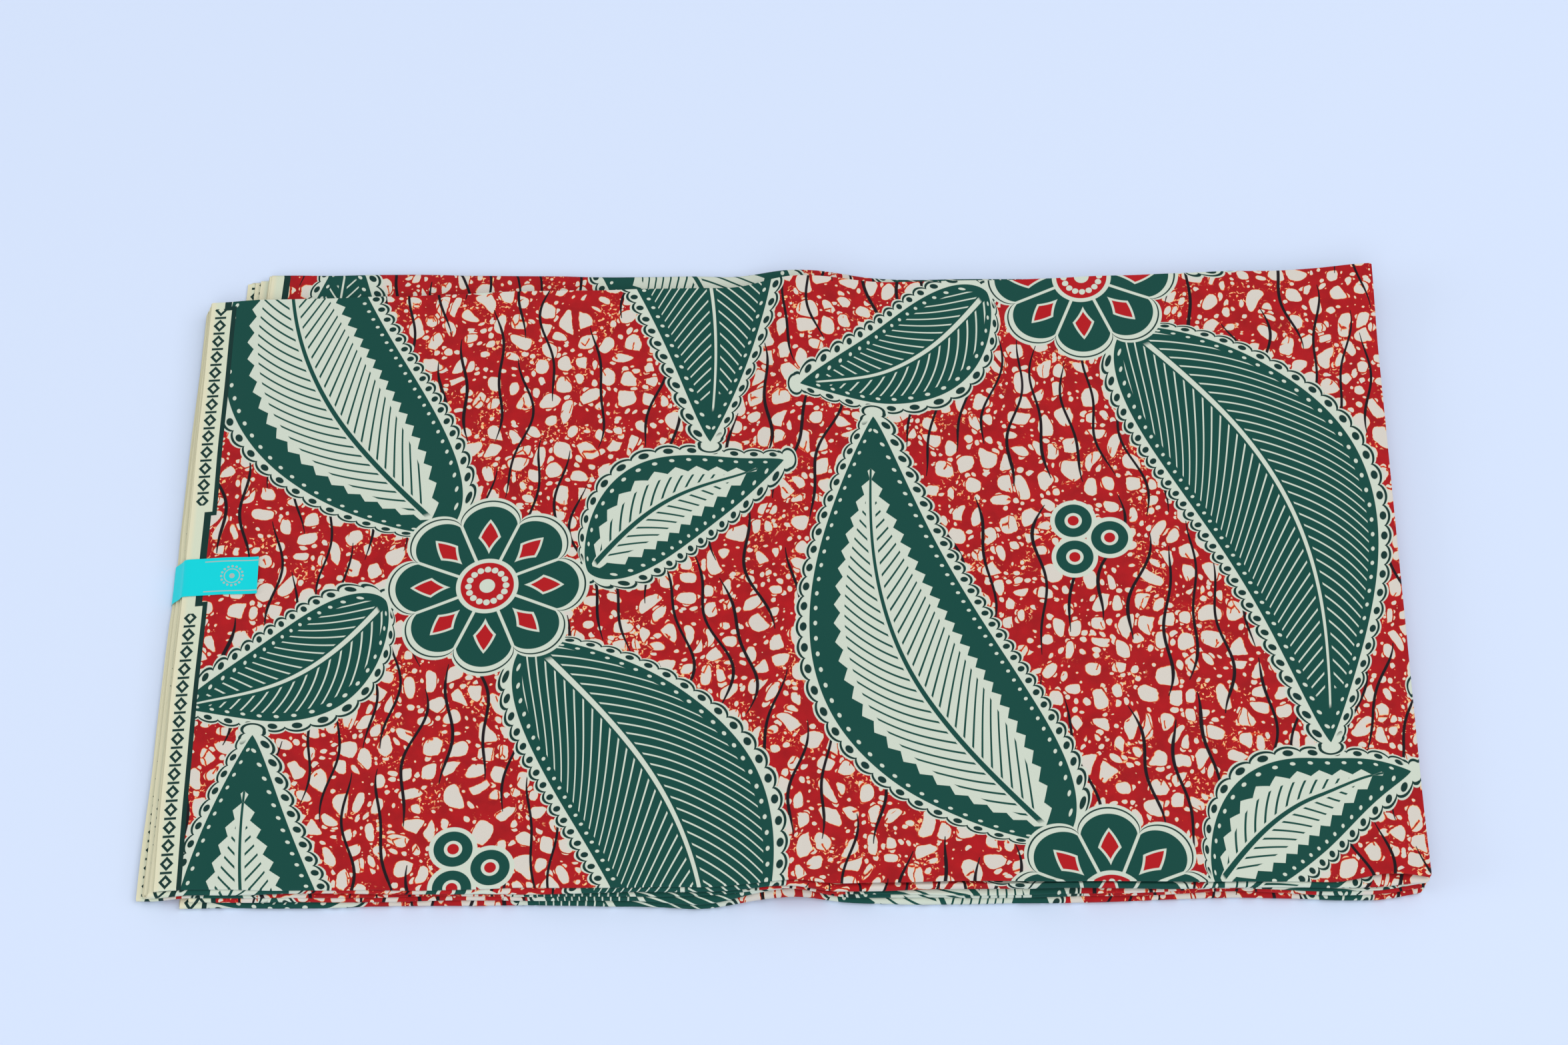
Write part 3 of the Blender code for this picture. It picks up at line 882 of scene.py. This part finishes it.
# %% [markdown]
# ## The sheet as one grid
# Each row of the grid crosses the cloth from selvedge to selvedge: the upper ply to the right, round
# the fold, and the lower ply back to the left. The rows follow the cloth's length down one panel, round
# the nose, and along the next. A ply lies a little to one side of the panel's middle surface, on the
# side that its normal points to. This makes the plies change places at each nose by themselves, just
# as real cloth does. Every ply uses the same places across, so the layers can't cut each other.

# %% Rows and columns of the sheet
CORNER_RADIUS = 0.0040
CORNER_RADII = ((0.0, 0.0030), (8.0, 0.0026), (11.0, 0.0014))
BACK_ROUNDING = 0.4
FOLD_TURNS = np.radians([35.0, 90.0, 145.0])
FAN_COLUMNS_WIDTH, FAN_COLUMN = 0.037, 0.0037
RIDGE_COLUMNS, LAST_COLUMNS, LAST_STEP_SHARE = (-0.050, 0.070), 0.205, 1.3
CORNER_COLUMNS = (1.0, 0.62, 0.34, 0.15, 0.04, 0.0)


def spaced(start, end, step):
    """Places from start up to, but without, end, about a step apart."""
    count = max(1, round((end - start) / step))
    return [start + (end - start) * i / count for i in range(count)]


def across_places(step, ridge_step):
    """The places across one ply, from the selvedge to the fold, closer where the cloth bends."""
    left, right = SIDE_EDGES[0].left_front, SIDE_EDGES[0].right_back
    fan_end, (ridge_left, ridge_right) = left + FAN_COLUMNS_WIDTH, RIDGE_COLUMNS
    places = spaced(left, fan_end, FAN_COLUMN) + spaced(fan_end, ridge_left, step)
    places += spaced(ridge_left, ridge_right, ridge_step) + spaced(ridge_right, LAST_COLUMNS, step)
    places += spaced(LAST_COLUMNS, right - CORNER_RADIUS, ridge_step * LAST_STEP_SHARE)
    return np.array(places + [right - CORNER_RADIUS * share for share in CORNER_COLUMNS])


def line_at(nose, x):
    """The y of a nose's line at x."""
    left, right = SIDE_EDGES[0].left_front, SIDE_EDGES[0].right_front
    return nose.left + (nose.right - nose.left) * (x - left) / (right - left)


def nose_round(upper, lower, noses):
    """The nose that shows and holds the joint between these levels."""
    for nose in noses:
        if nose.upper <= upper and lower <= nose.lower:
            return nose
    raise ValueError(f"no nose for levels {upper} and {lower}")


def nose_size(upper, lower):
    """Half the height of a nose round these levels, and its reach. A tall one is pressed oval."""
    half_height = (lower - upper) * PITCH / 2
    return half_height, half_height + PRESSED * max(0.0, half_height - PITCH / 2)


# Where the front noses bend inwards, by the levels that they start from: at the ridge, in the middle
# of the right half, and at the corner
Bend = namedtuple("Bend", "first last middle left_reach right_reach inwards")
FRONT_BENDS = [
    Bend(8, 12, -0.001, 0.046, 0.034, 0.0026),
    Bend(8, 12, -0.046, 0.030, 0.034, -0.0018),
    Bend(6, 12, 0.205, 0.050, 0.050, 0.0016),
    Bend(0, 0, 0.276, 0.034, 0.034, 0.0042),
    Bend(0, 0, 0.296, 0.040, 0.040, -0.0012),
    Bend(0, 0, 0.100, 0.130, 0.160, 0.0006),
    Bend(2, 2, 0.100, 0.130, 0.160, -0.0003),
    Bend(6, 6, 0.100, 0.130, 0.160, -0.0011),
    Bend(2, 2, 0.262, 0.030, 0.030, -0.0010),
    Bend(2, 2, 0.292, 0.034, 0.034, 0.0010),
    Bend(6, 12, 0.294, 0.030, 0.030, 0.0036),
]
NOSE_WAVES = ((15.0, 0.00030), (39.0, 0.00034), (88.0, 0.00020), (190.0, 0.00008))
PRESSED, WANDER_SEED = 0.9, 11
wander = np.random.default_rng(WANDER_SEED)
nose_waves = {}


def nose_wave(nose, x):
    """How far a nose strays inwards from its straight line."""
    if nose not in nose_waves:
        nose_waves[nose] = wander.uniform(0.0, 2 * np.pi, len(NOSE_WAVES))
    phase = nose_waves[nose]
    wave = sum(reach * np.sin(pace * x + start) for (pace, reach), start in zip(NOSE_WAVES, phase))
    if nose in FRONT_NOSES:
        for bend in FRONT_BENDS:
            if bend.first <= nose.upper <= bend.last:
                reach = np.where(x < bend.middle, bend.left_reach, bend.right_reach)
                wave += bend.inwards * bell((x - bend.middle) / reach)
    return wave


print("noses at the front:", len(FRONT_NOSES), "and at the back:", len(BACK_NOSES))

# %% [markdown]
# A row is given by two lines, which tell the y of its panel's ends at any x, and by its share of the
# way between them. In a nose the share is 0 or 1, and the row stands off its line by a part of the
# nose's reach. The next cell walks along the cloth and lists all its rows.

# %% Walking along the cloth
Row = namedtuple("Row", "back front share stand_off height normal sides")
SHOWING_ROWS, SECOND_ROWS, HIDDEN_ROWS = 84, 36, 24
NOSE_STEP, FEWEST_NOSE_STEPS, END_CROWDING = math.radians(24), 6, 0.3
PANEL_LENGTH, NEAR_NOSE = 0.327, np.array([0.0012, 0.0024, 0.0040, 0.0070])


def end_line(joint, noses, at_front):
    """Where the straight part of a panel ends: a function of x. It stops short of its nose."""
    nose = nose_round(*joint, noses)
    reach = nose_size(nose.upper, nose.lower)[1]
    side = 1 if at_front else -1
    return lambda x: line_at(nose, x) + side * (nose_wave(nose, x) + reach)


def panel_rows(level, count, forward, back, front):
    """The rows of one panel in the order in which they lie along the cloth, closest at its ends."""
    even = np.linspace(0.0, 1.0, count + 1)
    shares = (1 - END_CROWDING) * even + END_CROWDING * (1 - np.cos(np.pi * even)) / 2
    if level <= FRONT_NOSES[1].lower:
        shares = np.sort(np.append(shares, 1.0 - NEAR_NOSE / PANEL_LENGTH))
    normal = (0.0, 1.0) if forward else (0.0, -1.0)
    return [Row(back, front, share, 0.0, level_height(level), normal, side_edges(level, share))
            for share in (shares if forward else shares[::-1])]


def nose_rows(level, following, at_front, back, front):
    """The rows round a nose from one level to the following one, which may lie above or below it."""
    joint = tuple(sorted((level, following)))
    half_height, reach = nose_size(*joint)
    share = 1.0 if at_front else 0.0
    outwards = -1 if at_front else 1
    start = 1 if following > level else -1
    starts, ends = side_edges(level, share), side_edges(following, share)
    middle = (level_height(level) + level_height(following)) / 2
    outer = 1 if at_front == (start == 1) else -1
    steps = max(FEWEST_NOSE_STEPS, round(math.pi * math.sqrt(half_height / PITCH) / NOSE_STEP))
    rows = []
    for step in range(1, steps):
        turned = math.pi * step / steps
        out, up = outwards * math.sin(turned), start * math.cos(turned)
        slant = outer / math.hypot(out * half_height, up * reach)
        normal = (slant * out * half_height, slant * up * reach)
        rows.append(Row(back, front, share, reach * out, middle + half_height * up, normal,
                        starts + (ends - starts) * step / steps))
    return rows


def ends_of(step):
    """The back and front end lines of the panel at this step along the cloth."""
    level = FOLDING_ORDER[step]
    before = tuple(sorted((FOLDING_ORDER[step - 1], level))) if step else (0, 0)
    after = tuple(sorted((level, FOLDING_ORDER[step + 1]))) if step + 1 < LEVELS else (level, level)
    at_back, at_front = (before, after) if step % 2 == 0 else (after, before)
    back = end_line(at_back, BACK_NOSES + [CUT_EDGE_BACK], False)
    return back, end_line(at_front, FRONT_NOSES + [CUT_EDGE_FRONT], True)


def walk():
    """All rows of the cloth, panel by panel. Each panel's list ends with the nose that follows it."""
    panels = []
    for step, level in enumerate(FOLDING_ORDER):
        forward = step % 2 == 0
        back, front = ends_of(step)
        count = SHOWING_ROWS if step == 0 else SECOND_ROWS if step == 1 else HIDDEN_ROWS
        rows = panel_rows(level, count, forward, back, front)
        if step + 1 < LEVELS:
            rows += nose_rows(level, FOLDING_ORDER[step + 1], forward, back, front)
        panels.append(rows)
    return panels


panels = walk()
print("rows of cloth:", sum(len(rows) for rows in panels), "in", len(panels), "panels")

# %% [markdown]
# ## From rows to a mesh
# The columns of a row are fitted between its own selvedge and its own fold. The length of cloth that
# has been used is measured along one column, and gives the UV map its second coordinate. The sheet is
# made of single faces first, and Solidify then gives it the thickness of the cotton.

# %% The sheet's points
FIT_LEFT, FIT_RIGHT = 0.110, 0.030
SMOOTH_UNDER = math.radians(65)
Lift = namedtuple("Lift", "x reach start_y fade height")
EDGE_LIFTS = [Lift(0.279, 0.032, -0.128, 0.034, 0.0021), Lift(0.105, 0.185, -0.120, 0.042, 0.0024)]
LIFTED_LEVELS, LIFTED_SHARES = (6, 5, 2, 1), (0.0, 0.25, 0.25, 1.0)
SELVEDGE_WAVES = ((15.3, 0.00045), (37.0, 0.00022), (92.0, 0.00010))
PLY_PHASE, HELD_SHARE = 1.9, 0.8
MEASURED_AT = 0.150


def selvedge_wave(used, ply, y):
    """How far a selvedge strays outwards or inwards, along the cloth. The label holds it in line."""
    wave = sum(reach * np.sin(pace * used + PLY_PHASE * ply * number + number)
               for number, (pace, reach) in enumerate(SELVEDGE_WAVES, 1))
    return wave * (1 - HELD_SHARE * bell((y - LABEL_MIDDLE_Y) / LABEL_HOLD))


def fitted(places, left, right):
    """Moves the places across a ply so that they run from its selvedge to its fold."""
    first, last = places[0], places[-1]
    near_left = np.clip(1 - (places - first) / FIT_LEFT, 0.0, 1.0)
    near_right = np.clip(1 - (last - places) / FIT_RIGHT, 0.0, 1.0)
    return places + (left - first) * near_left + (right - last) * near_right


def corner_inset(x, right, height):
    """How far the round corner at the fold pulls a panel's end in, at this height in the flat packet."""
    heights, radii = zip(*CORNER_RADII)
    radius = np.interp(height * 1000, heights, radii)
    inward = np.clip(radius - (right - x), 0.0, radius)
    return radius - np.sqrt(radius**2 - inward**2)


def lifted(x, y, lift):
    """How far the top fold stands off the folds below, near its front edge."""
    forwards = np.clip((lift.start_y - y) / lift.fade, 0.0, 1.0)
    return lift.height * bell((x - lift.x) / lift.reach) * forwards**2


def row_points(row, x, offset, level_lift):
    """The points of a row at these x, a given offset to the side of the panel's middle surface."""
    y = row.back(x) * (1 - row.share) + row.front(x) * row.share
    rounding = row.share - BACK_ROUNDING * (1 - row.share)
    inset = corner_inset(x, row.sides[1], row.height) * rounding
    y = y + row.stand_off + inset + row.normal[0] * offset
    z = settled(x, y, row.height + row.normal[1] * offset)
    z = z + level_lift * sum(lifted(x, y, lift) for lift in EDGE_LIFTS)
    return np.stack([x + SHIFT_X, y + SHIFT_Y, z], axis=-1)


def used_lengths(panels):
    """The length of cloth from its cut end to each row, measured along one column."""
    rows = [row for panel in panels for row in panel]
    at = np.array([MEASURED_AT])
    line = np.array([row_points(row, at, 0.0, 0.0)[0] for row in rows])
    return np.concatenate([[0.0], np.cumsum(np.linalg.norm(np.diff(line, axis=0), axis=1))])


def sheet_grid(rows, used, places):
    """The points and the UVs of a stretch of cloth, as arrays with one entry a row and a column."""
    points, uvs = [], []
    half = CLOTH_WIDTH / 2
    for row, length in zip(rows, used):
        left, right = row.sides
        left_y = row.back(left) * (1 - row.share) + row.front(left) * row.share
        lift = np.interp(row.height, [level_height(level) for level in LIFTED_LEVELS], LIFTED_SHARES)
        plies, flat_plies = [], []
        for ply, side in enumerate((1, -1)):
            own_left = left + selvedge_wave(length, ply, left_y)
            x = fitted(places, own_left, right)
            plies.append(row_points(row, x, side * PLY_OFFSET, lift))
            flat_plies.append((x - own_left) / (right - own_left) * half)
        at_fold = np.array([right])
        fold = [row_points(row, at_fold, PLY_OFFSET * math.cos(a), lift)[0] for a in FOLD_TURNS]
        fold = np.array(fold) + np.outer(np.sin(FOLD_TURNS) * PLY_OFFSET, (1.0, 0.0, 0.0))
        flat_fold = half + PLY_OFFSET * (FOLD_TURNS - np.pi / 2)
        across = np.concatenate([flat_plies[0], flat_fold, CLOTH_WIDTH - flat_plies[1][::-1]])
        points.append(np.concatenate([plies[0], fold, plies[1][::-1]]))
        uvs.append(np.stack([across, np.full(len(across), length)], axis=-1))
    return np.array(points), np.array(uvs)


# %% The sheet's mesh
def grid_object(name, points, uvs, material):
    """An open sheet from a grid of points, with its own UV map."""
    rows, columns = points.shape[:2]
    corner = np.arange(rows * columns).reshape(rows, columns)
    quads = np.stack([corner[:-1, :-1], corner[:-1, 1:], corner[1:, 1:], corner[1:, :-1]], axis=-1)
    mesh = bpy.data.meshes.new(name)
    mesh.from_pydata(points.reshape(-1, 3).tolist(), [], quads.reshape(-1, 4).tolist())
    layer = mesh.uv_layers.new(name="cloth")
    layer.data.foreach_set("uv", uvs.reshape(-1, 2)[quads.reshape(-1)].astype(np.float32).ravel())
    mesh.materials.append(material)
    obj = bpy.data.objects.new(name, mesh)
    bpy.context.scene.collection.objects.link(obj)
    return obj


def apply_wall(obj, thickness):
    """Gives a sheet its thickness, half of it to each side."""
    wall = obj.modifiers.new("thickness", "SOLIDIFY")
    wall.thickness, wall.offset = thickness, 0.0
    bpy.ops.object.select_all(action="DESELECT")
    obj.select_set(True)
    bpy.context.view_layer.objects.active = obj
    bpy.ops.object.modifier_apply(modifier=wall.name)
    bpy.ops.object.shade_smooth_by_angle(angle=SMOOTH_UNDER)
    obj.select_set(False)


lengths = used_lengths(panels)
print("cloth used:", round(float(lengths[-1]), 3), "m long and", CLOTH_WIDTH, "m wide")

# %% [markdown]
# ## The three stretches of cloth
# The frame holds the packet as three solids, so the cloth is cut into three stretches that replace
# them: the top fold, the folds below it, and the folds at the bottom. They meet at the back noses.

# %% Cloth pieces
Stretch = namedtuple("Stretch", "name node first last step ridge_step")
STRETCHES = [
    Stretch("top_cloth", "top_fold", 0, 2, 0.0045, 0.0038),
    Stretch("upper_cloth", "upper_folds", 2, 8, 0.0120, 0.0045),
    Stretch("lower_cloth", "lower_folds", 8, 17, 0.0120, 0.0045),
]


def make_stretch(stretch):
    """One stretch of the cloth, from its first panel up to its last, with the nose that joins it on."""
    counts = np.cumsum([0] + [len(rows) for rows in panels])
    rows = [row for panel in panels for row in panel]
    start, end = counts[stretch.first], min(counts[stretch.last] + 1, len(rows))
    places = across_places(stretch.step, stretch.ridge_step)
    obj = grid_object(stretch.name, *sheet_grid(rows[start:end], lengths[start:end], places), cotton)
    apply_wall(obj, PLY_THICKNESS)
    return obj


cloth = {stretch.name: make_stretch(stretch) for stretch in STRETCHES}

# %% [markdown]
# ## The foil label
# A strip of turquoise foil holds the selvedges together. It lies on the top panel, bends over the edge
# and slopes down over the stepped edges below, so its line is laid over their corners and then
# smoothed. It is far thinner than its solid in the frame. Its print is plain: two fine rules and a ring
# of dots round a small target.

# %% The label's foil
FOIL, FOIL_PRINT = ink(0, 212, 220), ink(186, 176, 168)
LABEL_WIDTH, LABEL_START_X, LABEL_CURL, CURL_REACH = 0.0200, -0.2570, 0.0005, 0.006
LABEL_BEND, FLAT_POINTS, LABEL_STEP, SMOOTHED_STEPS = 0.0015, 30, 0.00025, 9
FOIL_THICKNESS, FOIL_CLEARANCE = 0.00012, 0.00030

# The label's print, in millimetres
RING_PLACE, RING_DOTS, RING_RADIUS, RING_DOT = 12.5, 16, 5.2, 0.58
TARGET_RADIUS, HALF_CIRCLE, TARGET_CORE = 3.7, 0.24, 1.3
RULE_PLACE, HALF_RULE, RULE_END, FINE_BLUR = 8.1, 0.26, 26.0, 0.1

# The foil's finish
PRINT_STRENGTH, PRINT_DENT, FOIL_SHINE, WRINKLES = 0.8, 0.06, 0.22, {"size": 6.0, "detail": 3.0}
FOIL_ROUGHNESS, FOIL_RANGE, WRINKLE_STRENGTH, WRINKLE_DEPTH = 0.34, 0.14, 0.15, 0.0004


def foil_material():
    material, shader, place = start_material("turquoise_foil")
    along, across = separate(place)
    x, y = along - RING_PLACE, across - LABEL_WIDTH * MILLIMETRES / 2
    radius, angle = distance(x, y), folded_angle(x, y, RING_DOTS)
    dots = disc(angle * radius, radius - RING_RADIUS, RING_DOT, FINE_BLUR)
    circle = (HALF_CIRCLE - abs(radius - TARGET_RADIUS)).shown(FINE_BLUR)
    core = (TARGET_CORE - radius).shown(FINE_BLUR)
    rule = (HALF_RULE - abs(abs(y) - RULE_PLACE)).shown(FINE_BLUR)
    rules = rule * (RULE_END - along).shown(FINE_BLUR)
    printed = dots.higher(circle).higher(core).higher(rules)
    wrinkle = noise(place, **WRINKLES)
    feed(paint(FOIL, (FOIL_PRINT, printed * PRINT_STRENGTH)), shader.inputs["Base Color"])
    feed(wrinkle * FOIL_RANGE + FOIL_ROUGHNESS, shader.inputs["Roughness"])
    shader.inputs["Specular IOR Level"].default_value = FOIL_SHINE
    add_bump(shader, wrinkle - printed * PRINT_DENT, WRINKLE_STRENGTH, WRINKLE_DEPTH)
    return material


def smoothed(values):
    """A running mean, which keeps the first and the last value."""
    padded = np.pad(values, SMOOTHED_STEPS // 2, "reflect", reflect_type="odd")
    return np.convolve(padded, np.ones(SMOOTHED_STEPS) / SMOOTHED_STEPS, "valid")


def label_line(y, steps):
    """The label's line at this y, over the edges and smoothed: x, z and the length from its start."""
    share = front_share_at(y)
    x = np.linspace(LABEL_START_X, side_edges(0, share)[0] + LABEL_BEND, FLAT_POINTS)
    z = settled(x, y, STACK_HEIGHT) + FOIL_CLEARANCE
    for level in range(0, UPPER_LEVELS, 2):
        edge = side_edges(level, share)[0]
        cloth_top = settled(edge, y, level_height(level) + PLY_OFFSET) + PLY_THICKNESS
        x, z = np.append(x, edge - FOIL_CLEARANCE), np.append(z, cloth_top + FOIL_CLEARANCE)
    x = np.append(x, edge - 2 * FOIL_CLEARANCE)
    z = np.append(z, settled(edge, y, UPPER_BOTTOM))
    length = np.concatenate([[0.0], np.cumsum(np.hypot(np.diff(x), np.diff(z)))])
    even = np.arange(0.0, length[-1], LABEL_STEP)
    along = np.linspace(0.0, even[-1], steps + 1)
    x, z = [np.interp(along, even, smoothed(np.interp(even, length, line))) for line in (x, z)]
    return x, z, along


def label_grid(steps, rows):
    """The label's middle surface, with its own UV map in metres."""
    points, uvs = [], []
    for across in np.linspace(0.0, 1.0, rows + 1):
        y = LABEL_MIDDLE_Y + (across - 0.5) * LABEL_WIDTH
        x, z, along = label_line(y, steps)
        curl = LABEL_CURL * np.clip(1 - along / CURL_REACH, 0.0, 1.0) ** 2
        points.append(np.stack([x + SHIFT_X, np.full_like(x, y + SHIFT_Y), z + curl], axis=-1))
        uvs.append(np.stack([along, np.full_like(x, across * LABEL_WIDTH)], axis=-1))
    return np.array(points), np.array(uvs)


foil = grid_object("foil_label", *label_grid(steps=80, rows=16), foil_material())
apply_wall(foil, FOIL_THICKNESS)
print("label:", [tuple(round(v, 4) for v in corner) for corner in foil.bound_box][::6])

# %% [markdown]
# ## The pieces on the body
# Every piece rides on the packet's one body and replaces its own solid, which is hidden.

# %% Attaching the pieces
for stretch in STRETCHES:
    piece = cloth[stretch.name]
    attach(piece, "root")
    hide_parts(stretch.node)
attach(foil, "root")
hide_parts("label")
